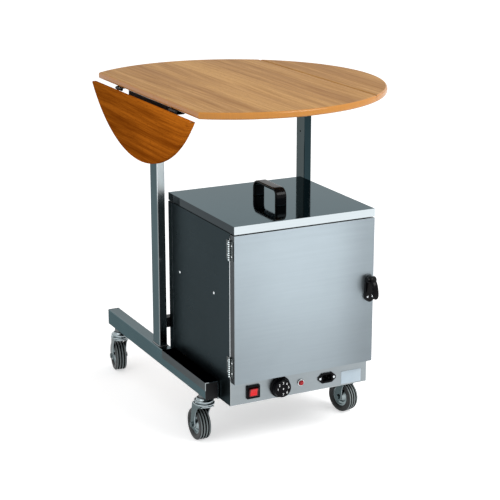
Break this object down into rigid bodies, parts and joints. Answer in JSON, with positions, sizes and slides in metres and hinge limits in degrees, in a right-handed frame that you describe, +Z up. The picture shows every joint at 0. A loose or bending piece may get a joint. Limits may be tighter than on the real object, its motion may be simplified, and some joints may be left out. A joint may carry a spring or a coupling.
{
  "type": "room service table",
  "caption": "Round drop-leaf dining table on two castored inverted-T legs, with a heated steel food box carried between its feet.",
  "frame": {"origin": "on the floor under the middle of the round top, midway between the two posts", "axes": "+X across the two legs towards the raised leaf, -Y towards the hot box's door, +Z up"},
  "size_m": [0.6074, 0.7685, 0.78],
  "materials": {
    "wood_top": "varnished veneer, warm brown",
    "wood_leaf": "varnished veneer, warm brown",
    "hinge_black": "black lacquered steel",
    "rail_black": "black powder coat",
    "leg_chrome": "polished",
    "cap_black": "fine matt",
    "bracket_steel": "bright",
    "castor_zinc": "zinc plated",
    "stem_zinc": "zinc plated",
    "hub_grey": "matt",
    "tyre_grey": "matt",
    "shell_steel": "bright polished sheet",
    "door_steel": "brushed sheet",
    "liner_steel": "bright sheet",
    "handle_black": "satin black",
    "rubber_black": "matt",
    "switch_black": "matt",
    "rocker_red": "glossy red",
    "lamp_red": "glossy red lens",
    "inner_metal": "plain",
    "wire_chrome": "polished wire"
  },
  "bodies": {
    "frame": {"table_top": "wood_top", "left_hinge_plates": "hinge_black", "right_hinge_plates": "hinge_black", "left_rail": "rail_black", "right_rail": "rail_black", "left_post": "leg_chrome", "right_post": "leg_chrome", "cross_tube": "leg_chrome", "left_foot": "leg_chrome", "right_foot": "leg_chrome", "foot_caps": "cap_black", "left_bracket": "bracket_steel", "right_bracket": "bracket_steel", "castor_stems": "stem_zinc"},
    "left_leaf": {"left_leaf": "wood_leaf", "left_hinge_flaps": "hinge_black"},
    "right_leaf": {"right_leaf": "wood_top", "right_hinge_flaps": "hinge_black"},
    "hot_box": {"box_shell": "shell_steel", "back_panel": "shell_steel", "box_liner": "liner_steel", "box_lid": "shell_steel", "lid_handle": "handle_black", "box_feet": "rubber_black", "control_panel": "door_steel", "switch_frame": "switch_black", "thermostat": "inner_metal", "pilot_lamp": "lamp_red", "power_inlet": "switch_black", "heater": "inner_metal", "rack_rails": "liner_steel", "wire_shelves": "wire_chrome", "door_hinge_leaves": "castor_zinc", "door_hinge_pins": "castor_zinc", "latch_keeper": "castor_zinc"},
    "switch": {"switch_rocker": "rocker_red"},
    "knob": {"thermostat_knob": "switch_black"},
    "door": {"door_skin": "door_steel", "door_liner": "liner_steel", "door_gasket": "rubber_black", "door_hinge_flaps": "castor_zinc", "latch_base": "handle_black"},
    "latch": {"latch_lever": "handle_black"},
    "front_left_castor": {"front_left_fork": "castor_zinc", "front_left_axle": "stem_zinc"},
    "front_left_wheel": {"front_left_hub": "hub_grey", "front_left_tyre": "tyre_grey"},
    "front_right_castor": {"front_right_fork": "castor_zinc", "front_right_axle": "stem_zinc"},
    "front_right_wheel": {"front_right_hub": "hub_grey", "front_right_tyre": "tyre_grey"},
    "back_left_castor": {"back_left_fork": "castor_zinc", "back_left_axle": "stem_zinc"},
    "back_left_wheel": {"back_left_hub": "hub_grey", "back_left_tyre": "tyre_grey"},
    "back_right_castor": {"back_right_fork": "castor_zinc", "back_right_axle": "stem_zinc"},
    "back_right_wheel": {"back_right_hub": "hub_grey", "back_right_tyre": "tyre_grey"}
  },
  "joints": [
    {"name": "left_leaf_fold", "type": "hinge", "parent": "frame", "child": "left_leaf", "pos_m": [-0.2225, 0, 0.76], "axis": [0, 1, 0], "range_deg": [0, 90]},
    {"name": "right_leaf_fold", "type": "hinge", "parent": "frame", "child": "right_leaf", "pos_m": [0.2225, 0, 0.76], "axis": [0, 1, 0], "range_deg": [0, 90]},
    {"name": "box_slide", "type": "slide", "parent": "frame", "child": "hot_box", "axis": [0, -1, 0], "range_m": [0, 0.38]},
    {"name": "door_swing", "type": "hinge", "parent": "hot_box", "child": "door", "pos_m": [-0.179, -0.3465, 0.349], "axis": [0, 0, -1], "range_deg": [0, 180]},
    {"name": "latch_pull", "type": "hinge", "parent": "door", "child": "latch", "pos_m": [0.164, -0.37754, 0.377], "axis": [-1, 0, 0], "range_deg": [0, 35]},
    {"name": "switch_rock", "type": "hinge", "parent": "hot_box", "child": "switch", "pos_m": [-0.12, -0.339, 0.14632], "axis": [-1, 0, 0], "range_deg": [0, 16]},
    {"name": "knob_turn", "type": "hinge", "parent": "hot_box", "child": "knob", "pos_m": [-0.052, -0.3455, 0.14632], "axis": [0, -1, 0], "range_deg": [0, 300]},
    {"name": "front_left_swivel", "type": "hinge", "parent": "frame", "child": "front_left_castor", "pos_m": [-0.195, -0.247, 0.1], "axis": [0, 0, 1], "continuous": true},
    {"name": "front_left_roll", "type": "hinge", "parent": "front_left_castor", "child": "front_left_wheel", "pos_m": [-0.195, -0.22, 0.0375], "axis": [1, 0, 0], "continuous": true},
    {"name": "front_right_swivel", "type": "hinge", "parent": "frame", "child": "front_right_castor", "pos_m": [0.195, -0.247, 0.1], "axis": [0, 0, 1], "continuous": true},
    {"name": "front_right_roll", "type": "hinge", "parent": "front_right_castor", "child": "front_right_wheel", "pos_m": [0.18893, -0.22069, 0.0375], "axis": [0.9744, 0.225, 0], "continuous": true},
    {"name": "back_left_swivel", "type": "hinge", "parent": "frame", "child": "back_left_castor", "pos_m": [-0.195, 0.259, 0.1], "axis": [0, 0, 1], "continuous": true},
    {"name": "back_left_roll", "type": "hinge", "parent": "back_left_castor", "child": "back_left_wheel", "pos_m": [-0.19078, 0.28567, 0.0375], "axis": [0.9877, -0.1564, 0], "continuous": true},
    {"name": "back_right_swivel", "type": "hinge", "parent": "frame", "child": "back_right_castor", "pos_m": [0.195, 0.259, 0.1], "axis": [0, 0, 1], "continuous": true},
    {"name": "back_right_roll", "type": "hinge", "parent": "back_right_castor", "child": "back_right_wheel", "pos_m": [0.19218, 0.28585, 0.0375], "axis": [0.9945, 0.1045, 0], "continuous": true}
  ]
}
